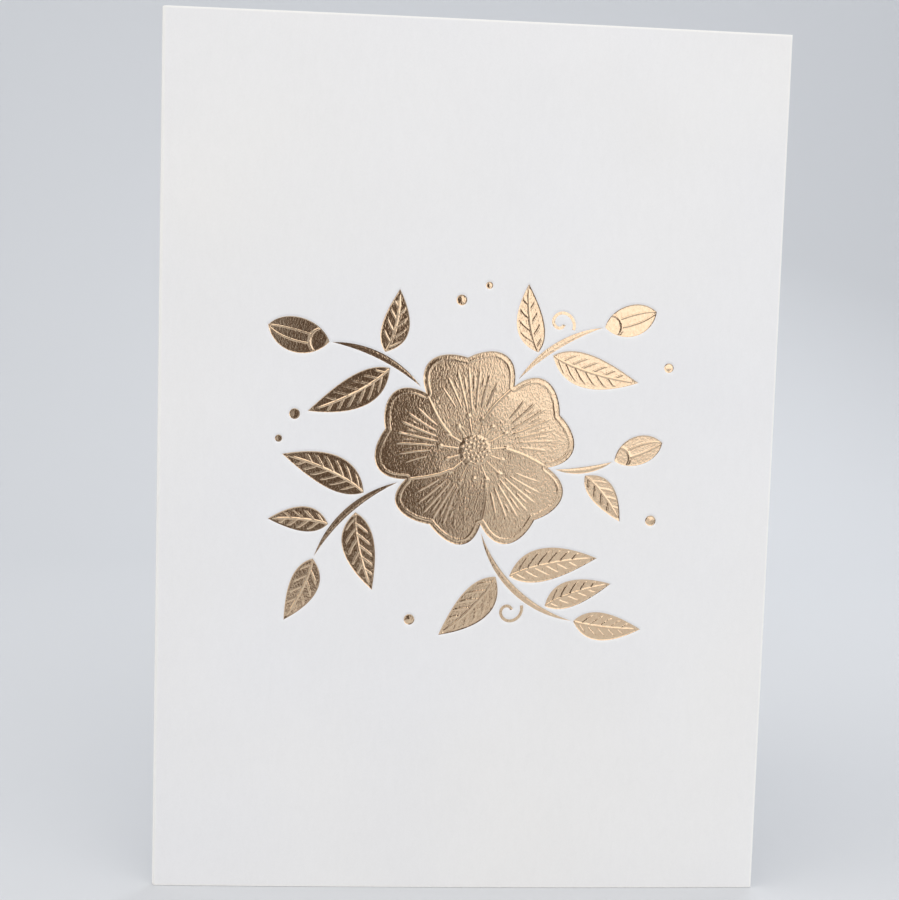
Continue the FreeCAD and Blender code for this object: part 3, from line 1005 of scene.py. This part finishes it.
def node(tree, kind, inputs=None, **settings):
    """Adds a node. inputs maps a socket's name or number to a value or to another socket."""
    made = tree.nodes.new(kind)
    for key, value in settings.items():
        setattr(made, key, value)
    for key, value in (inputs or {}).items():
        if isinstance(value, bpy.types.NodeSocket):
            tree.links.new(value, made.inputs[key])
        else:
            made.inputs[key].default_value = value
    return made


def maths(tree, operation, a, b, clamp=False):
    """The outcome of one operation on two numbers or sockets."""
    return node(tree, "ShaderNodeMath", {0: a, 1: b}, operation=operation,
                use_clamp=clamp).outputs[0]


def scaled(tree, value, factor, plus, clamp=False):
    """value times factor, plus a number or another socket."""
    return node(tree, "ShaderNodeMath", {0: value, 1: factor, 2: plus},
                operation="MULTIPLY_ADD", use_clamp=clamp).outputs[0]


def mix_colour(tree, factor, a, b):
    """A colour that goes from a to b as the factor goes from 0 to 1."""
    found = node(tree, "ShaderNodeMix", {0: factor, 6: a, 7: b}, data_type="RGBA")
    return found.outputs[2]


# How each grain's two noises are turned, and their scale
GRAIN_NOISES = (((0.6, 0.5, 0.7), 1.0), ((1.4, 0.3, 2.1), 0.83))

# Grains: streaks to a metre across and upright, and the scale of the tone
CARD_FIBRE = (4200, 3000, 45)
CARD_STREAK = (1300, 420, 16)
FOIL_STREAK = (3700, 2300, 220)
FOIL_FINE = (5200, 3900, 90)

# How far the grain stands up, in metres
CARD_TOOTH = 1.2e-5
FOIL_TOOTH = 3.9e-5

# The card's least brightness, and what streaks, mottle and fibres add to it, and then the painted
# highlight along the cut edges and the fold
CARD_LEAST = 0.915
CARD_GRAIN_AND_PAINTED_HIGHLIGHT_ADDS = (0.045, 0.05, 0.07, 0.09)


def grain_group():
    """Streaky noise in object space, shared by card and foil. It takes how many streaks go to a
    metre across and upright, and gives Height from 0 to 1 and a slower Tone. Height is the mean
    of two noises turned differently, so that where one is flat the other isn't."""
    found = bpy.data.node_groups.get("upright_grain")
    if found:
        return found
    tree = bpy.data.node_groups.new("upright_grain", "ShaderNodeTree")
    face = tree.interface
    for name, value in (("Across", 3000.0), ("Upright", 900.0), ("Tone size", 60.0)):
        face.new_socket(name, in_out="INPUT", socket_type="NodeSocketFloat").default_value = value
    for name in ("Height", "Tone"):
        face.new_socket(name, in_out="OUTPUT", socket_type="NodeSocketFloat")
    start, end = node(tree, "NodeGroupInput"), node(tree, "NodeGroupOutput")
    place = node(tree, "ShaderNodeTexCoord").outputs["Object"]
    scale = node(tree, "ShaderNodeCombineXYZ", {0: start.outputs[0], 1: start.outputs[0],
                                                2: start.outputs[1]}).outputs[0]
    noises = []
    for turn, size in GRAIN_NOISES:
        stretched = node(tree, "ShaderNodeMapping", {"Vector": place, "Scale": scale,
                                                     "Rotation": turn}).outputs[0]
        noises.append(node(tree, "ShaderNodeTexNoise", {
            "Vector": stretched, "Scale": size, "Detail": 2.0, "Distortion": 0.5}).outputs[0])
    height = maths(tree, "MULTIPLY", maths(tree, "ADD", *noises), 0.5)
    tone = node(tree, "ShaderNodeTexNoise", {"Vector": place, "Scale": start.outputs[2],
                                             "Detail": 2.0}).outputs[0]
    tree.links.new(height, end.inputs[0])
    tree.links.new(tone, end.inputs[1])
    return tree


def grain(tree, across, upright, tone_size):
    """Places the shared grain with its own values, and gives its height and its tone."""
    made = node(tree, "ShaderNodeGroup")
    made.node_tree = grain_group()
    for key, value in zip(("Across", "Upright", "Tone size"), (across, upright, tone_size)):
        made.inputs[key].default_value = value
    return made.outputs["Height"], made.outputs["Tone"]


def new_material(name):
    """A material with a plain Principled shader, its tree and the shader."""
    material = bpy.data.materials.new(name)
    material.use_nodes = True
    tree = material.node_tree
    tree.nodes.clear()
    shader = node(tree, "ShaderNodeBsdfPrincipled")
    node(tree, "ShaderNodeOutputMaterial", {"Surface": shader.outputs[0]})
    return material, tree, shader


def card_material(finish):
    """Uncoated card: fine fibres, faint upright streaks and a slight mottle between a cool and a
    warm white. A painted highlight makes it brighter and warmer along the cut edges and the fold,
    and the pressed shoulders are smoother."""
    material, tree, shader = new_material("uncoated_card")
    fibre, mottle = grain(tree, *CARD_FIBRE)
    streak, cloud = grain(tree, *CARD_STREAK)
    pressed = node(tree, "ShaderNodeAttribute", attribute_name="pressed").outputs["Fac"]
    # Painted highlight along the cut edges and the fold
    rim = node(tree, "ShaderNodeAttribute", attribute_name="rim").outputs["Fac"]
    # Warmer where the random mottle is, and in the painted highlight along the cut edges and the
    # fold
    warm = maths(tree, "ADD", scaled(tree, cloud, 1.5, -0.3), rim, clamp=True)
    tone = mix_colour(tree, warm, (*finish.card_cool, 1), (*finish.card_warm, 1))
    # Brightness from streaks, mottle and fibres, plus the painted highlight along the cut edges
    # and the fold
    level = CARD_LEAST
    for part, adds in zip((streak, mottle, fibre, rim), CARD_GRAIN_AND_PAINTED_HIGHLIGHT_ADDS):
        level = scaled(tree, part, adds, level)
    shade = node(tree, "ShaderNodeVectorMath", {0: tone, "Scale": level}, operation="SCALE")
    tree.links.new(shade.outputs[0], shader.inputs["Base Color"])
    tree.links.new(scaled(tree, pressed, -0.14, finish.card_roughness),
                   shader.inputs["Roughness"])
    height = maths(tree, "MULTIPLY", scaled(tree, streak, 0.6, fibre),
                   scaled(tree, pressed, -0.6, 1.0))
    bump = node(tree, "ShaderNodeBump", {"Height": height, "Strength": 0.5,
                                         "Distance": CARD_TOOTH})
    tree.links.new(bump.outputs[0], shader.inputs["Normal"])
    shader.inputs["IOR"].default_value = 1.45
    shader.inputs["Specular IOR Level"].default_value = 0.3
    return material


def foil_material(finish):
    """Champagne gold foil over the card's tooth: short upright streaks tilt the surface and
    shift its tone and gloss."""
    material, tree, shader = new_material("champagne_foil")
    streak, tone = grain(tree, *FOIL_STREAK)
    fine, _ = grain(tree, *FOIL_FINE)
    pale = scaled(tree, streak, 2.4, -0.75, clamp=True)
    tint = mix_colour(tree, pale, (*finish.foil_deep, 1), (*finish.foil, 1))
    tree.links.new(tint, shader.inputs["Base Color"])
    tree.links.new(scaled(tree, tone, 0.12, finish.foil_roughness - 0.06),
                   shader.inputs["Roughness"])
    bump = node(tree, "ShaderNodeBump", {"Height": scaled(tree, fine, 0.35, streak),
                                         "Strength": 1.0, "Distance": FOIL_TOOTH})
    tree.links.new(bump.outputs[0], shader.inputs["Normal"])
    shader.inputs["Metallic"].default_value = 1.0
    return material


def finish_of(name, maker):
    """The material of that name, made the first time."""
    return bpy.data.materials.get(name) or maker(bpy.context.scene.card_finish)


# ------------------------------------------------------------------------------ operators

def add_foil(name, films):
    """A piece of gold foil, which stands for the node of the same name."""
    add_piece(name, films, finish_of("champagne_foil", foil_material),
              [f"foil_{name}"])


class CARD_OT_sheet(bpy.types.Operator):
    """Make the folded sheet of card with its pressed front panel"""

    bl_idname = "card.sheet"
    bl_label = "Folded Sheet"

    def execute(self, context):
        sheet, motif = card_sizes()
        parts, masks = card_parts(sheet, motif)
        add_piece("card", parts, finish_of("uncoated_card", card_material),
                  ["card_sheet"], masks)
        return {"FINISHED"}


# The blossom's rows: the first past its shoulders and their step, then closer ones round its
# centre. Its distances from the outline are worked out from a share of the way outward.
BLOSSOM_FIRST = 0.48
BLOSSOM_ROW = 0.2
CORE_REACH = 2.9
CORE_ROWS = 30
BLOSSOM_NEAR = 0.86

# Heights of the rounded tops
STEM_CROWN = 0.05
TENDRIL_CROWN = 0.04
DOT_CROWN = 0.05


class CARD_OT_blossom(bpy.types.Operator):
    """Press the blossom's foil"""

    bl_idname = "card.blossom"
    bl_label = "Blossom"

    def execute(self, context):
        sheet, motif = card_sizes()
        centre = np.array([motif.shift, motif.rise])
        reach = motif.petal_reach
        q = np.concatenate((np.linspace(0, motif.close_rows, SHOULDER_STEPS + 1),
                            np.arange(BLOSSOM_FIRST, reach - CORE_REACH - 0.1, BLOSSOM_ROW),
                            np.linspace(reach - CORE_REACH, reach, CORE_ROWS)))
        film = round_film(sheet, motif, centre, blossom_outline(motif, BLOSSOM_STEPS),
                          1 - q[::-1] / reach,
                          lambda uv, inside: blossom_relief(motif, uv, inside), BLOSSOM_NEAR)
        add_foil("blossom", [film])
        return {"FINISHED"}


class CARD_OT_leaves(bpy.types.Operator):
    """Press the foil of the leaves and the buds"""

    bl_idname = "card.leaves"
    bl_label = "Leaves and Buds"

    def execute(self, context):
        sheet, motif = card_sizes()
        for name, shapes, relief in (("leaves", blades, leaf_relief), ("buds", buds, bud_relief)):
            add_foil(name, [blade_film(sheet, motif, sides, relief(motif, rows, run))
                            for sides, rows, run in shapes(motif)])
        return {"FINISHED"}


class CARD_OT_stems(bpy.types.Operator):
    """Press the foil of the stems and the tendrils"""

    bl_idname = "card.stems"
    bl_label = "Stems and Tendrils"

    def execute(self, context):
        sheet, motif = card_sizes()
        add_foil("stems", [blade_film(sheet, motif, sides, crown(STEM_CROWN))
                           for sides, _, _ in stems(motif)])
        add_foil("tendrils", [blade_film(sheet, motif, sides, crown(TENDRIL_CROWN), square=True)
                              for sides in tendrils(motif)])
        return {"FINISHED"}


class CARD_OT_dots(bpy.types.Operator):
    """Press the foil of the dots"""

    bl_idname = "card.dots"
    bl_label = "Dots"

    def execute(self, context):
        sheet, motif = card_sizes()
        films = []
        for right, above, radius in DOTS:
            q = edge_steps(radius, motif.close_rows, DOT_STEP)
            films.append(round_film(
                sheet, motif, blossom_point(motif, 0, right, above),
                dot_loop(motif, right, above, radius, DOT_STEPS), (1 - q / radius)[::-1],
                lambda uv, inside, radius=radius: DOT_CROWN * smooth(inside / radius)))
        add_foil("dots", films)
        return {"FINISHED"}


# The floor and the backdrop it curves up into, in metres. The floor lies just under the card.
FLOOR_REACH = 4.0
SWEEP_START = 0.3
SWEEP_RADIUS = 0.4
SWEEP_TOP = 2.4
FLOOR_DROP = 5e-5

# Lamps: what they aim at, their azimuth (0 is in front of the card, 90 to its right) and
# elevation in degrees, their distance and size in metres, and their tint
CARD_MIDDLE = (0, CARD_LOW.y, CARD_HIGH.z / 2)
LAMPS = {
    "key": (CARD_MIDDLE, 36, 10.5, 0.75, (1.0, 0.39), (1.0, 0.99, 0.99)),
    "top": (CARD_MIDDLE, 6, 60, 0.65, (1.0, 0.8), (1.0, 0.945, 0.87)),
    "fill": (CARD_MIDDLE, -76, 28, 0.8, (0.8, 0.7), (1.0, 0.93, 0.83)),
    "back": (CARD_MIDDLE, 150, 42, 0.6, (0.4, 0.4), (1.0, 1.0, 1.0)),
    "backdrop": ((0, 0.65, 0.3), 0, 48, 0.6, (1.4, 0.2), (1.0, 1.0, 1.0)),
}

# Dark boards that only the foil reflects, so that it reads as metal: a corner, measured from
# the middle of the front panel's foot, and two sides, in metres
BOARDS = {
    "board_camera": ((-0.066, -0.235, 0.0), (0.082, 0, 0), (0, 0, 0.17)),
    "board_left": ((-0.46, -0.42, 0.001), (0.345, 0, 0), (0, 0.38, 0)),
    "board_right": ((0.135, -0.42, 0.001), (0.345, 0, 0), (0, 0.38, 0)),
}
BOARD_TINT = (0.12, 0.084, 0.063)


class CARD_OT_stage(bpy.types.Operator):
    """Make the floor with its backdrop, the lamps and the camera"""

    bl_idname = "card.stage"
    bl_label = "Stage"

    def execute(self, context):
        scene, stage = context.scene, context.scene.card_stage
        self.sweep(self.matt("stage_floor", stage.floor, 0.9, 0.1))
        dark = self.matt("stage_board", BOARD_TINT, 1.0, 0.5)
        for name, sides in BOARDS.items():
            self.board(name, dark, *map(np.array, sides))
        for name, settings in LAMPS.items():
            self.lamp(name, getattr(stage, f"{name}_power"), *settings)
        world = bpy.data.worlds.new("studio")
        world.use_nodes = True
        sky = world.node_tree.nodes["Background"]
        sky.inputs["Color"].default_value = (*stage.sky, 1)
        sky.inputs["Strength"].default_value = stage.sky_strength
        scene.world = world
        self.camera(scene, stage)
        scene.view_settings.view_transform = "Standard"
        return {"FINISHED"}

    def matt(self, name, tint, roughness, gloss):
        """A plain material of one colour."""
        material, _, shader = new_material(name)
        shader.inputs["Base Color"].default_value = (*tint, 1)
        shader.inputs["Roughness"].default_value = roughness
        shader.inputs["Specular IOR Level"].default_value = gloss
        return material

    def sweep(self, material):
        """The floor, curved up into a backdrop: a level run, a quarter turn and an upright run
        behind the card, carried straight across."""
        turn = np.linspace(0, math.pi / 2, 33)[1:]
        level = np.linspace(-FLOOR_REACH, SWEEP_START, 20)
        end = SWEEP_START + SWEEP_RADIUS
        y = np.concatenate((level, SWEEP_START + SWEEP_RADIUS * np.sin(turn), [end]))
        z = np.concatenate((0 * level, SWEEP_RADIUS * (1 - np.cos(turn)), [SWEEP_TOP]))
        x = np.linspace(-FLOOR_REACH, FLOOR_REACH, 3)
        points = np.stack(np.broadcast_arrays(x, y[:, None], z[:, None] - FLOOR_DROP), -1)
        self.show("floor", points.reshape(-1, 3), grid_faces(*points.shape[:2]), material)

    def board(self, name, material, corner, along, up):
        """A dark board that shows only in reflections."""
        corner = corner + [0, CARD_LOW.y, 0]
        points = np.array([corner, corner + along, corner + along + up, corner + up])
        board = self.show(name, points, np.array([[0, 1, 2, 3]]), material)
        board.visible_camera = board.visible_diffuse = board.visible_shadow = False

    def show(self, name, points, faces, material):
        """A piece of the stage, from its points in metres and its faces."""
        mesh = bpy.data.meshes.new(name)
        mesh.from_pydata(points.tolist(), [], faces.tolist())
        mesh.shade_smooth()
        mesh.materials.append(material)
        made = bpy.data.objects.new(name, mesh)
        bpy.context.scene.collection.objects.link(made)
        return made

    def lamp(self, name, watts, aim, azimuth, elevation, distance, size, tint):
        """A rectangular lamp that faces what it aims at."""
        a, e = math.radians(azimuth), math.radians(elevation)
        back = Vector((math.sin(a) * math.cos(e), -math.cos(a) * math.cos(e), math.sin(e)))
        data = bpy.data.lights.new(name, "AREA")
        data.shape, data.energy, data.color = "RECTANGLE", watts, tint
        data.size, data.size_y = size
        made = bpy.data.objects.new(name, data)
        made.location = Vector(aim) + back * distance
        made.rotation_euler = (-back).to_track_quat("-Z", "Y").to_euler()
        bpy.context.scene.collection.objects.link(made)

    def camera(self, scene, stage):
        """The camera, turned by its pitch, yaw and roll from looking straight at the card."""
        pitch, yaw, roll = stage.camera_turn
        ahead = Vector((-math.sin(yaw) * math.cos(pitch), math.cos(yaw) * math.cos(pitch),
                        math.sin(pitch)))
        right = Vector((math.cos(yaw), math.sin(yaw), 0))
        up = right.cross(ahead)
        right, up = (right * math.cos(roll) + up * math.sin(roll),
                     up * math.cos(roll) - right * math.sin(roll))
        data = bpy.data.cameras.new("camera")
        data.lens, data.sensor_width = stage.lens, 36.0
        data.clip_start, data.clip_end = 0.01, 20.0
        made = bpy.data.objects.new("camera", data)
        turn = Matrix((right, up, -ahead)).transposed().to_4x4()
        made.matrix_world = Matrix.Translation(Vector(stage.camera_place)) @ turn
        scene.collection.objects.link(made)
        scene.camera = made


OPERATORS = (CARD_OT_sheet, CARD_OT_blossom, CARD_OT_leaves, CARD_OT_stems, CARD_OT_dots,
             CARD_OT_stage)
GROUPS = {"card_sheet": CardSheet, "card_motif": CardMotif, "card_finish": CardFinish,
          "card_stage": CardStage}


class CARD_PT_maker(bpy.types.Panel):
    """Lists the makers of the card's pieces and the values they use"""

    bl_idname = "CARD_PT_maker"
    bl_label = "Greeting Card"
    bl_space_type = "VIEW_3D"
    bl_region_type = "UI"
    bl_category = "Card"

    def draw(self, context):
        for operator in OPERATORS:
            self.layout.operator(operator.bl_idname)
        for key, group in GROUPS.items():
            box = self.layout.box()
            box.label(text=group.__doc__)
            values = getattr(context.scene, key)
            for name in group.__annotations__:
                box.prop(values, name)


def register():
    for made in (*GROUPS.values(), *OPERATORS, CARD_PT_maker):
        bpy.utils.register_class(made)
    for key, group in GROUPS.items():
        setattr(bpy.types.Scene, key, PointerProperty(type=group))


def unregister():
    for key in GROUPS:
        delattr(bpy.types.Scene, key)
    for made in (CARD_PT_maker, *reversed(OPERATORS), *reversed(list(GROUPS.values()))):
        bpy.utils.unregister_class(made)


def main():
    register()
    bpy.ops.card.sheet()
    bpy.ops.card.blossom()
    bpy.ops.card.leaves()
    bpy.ops.card.stems()
    bpy.ops.card.dots()
    bpy.ops.card.stage()


if __name__ == "__main__":
    main()
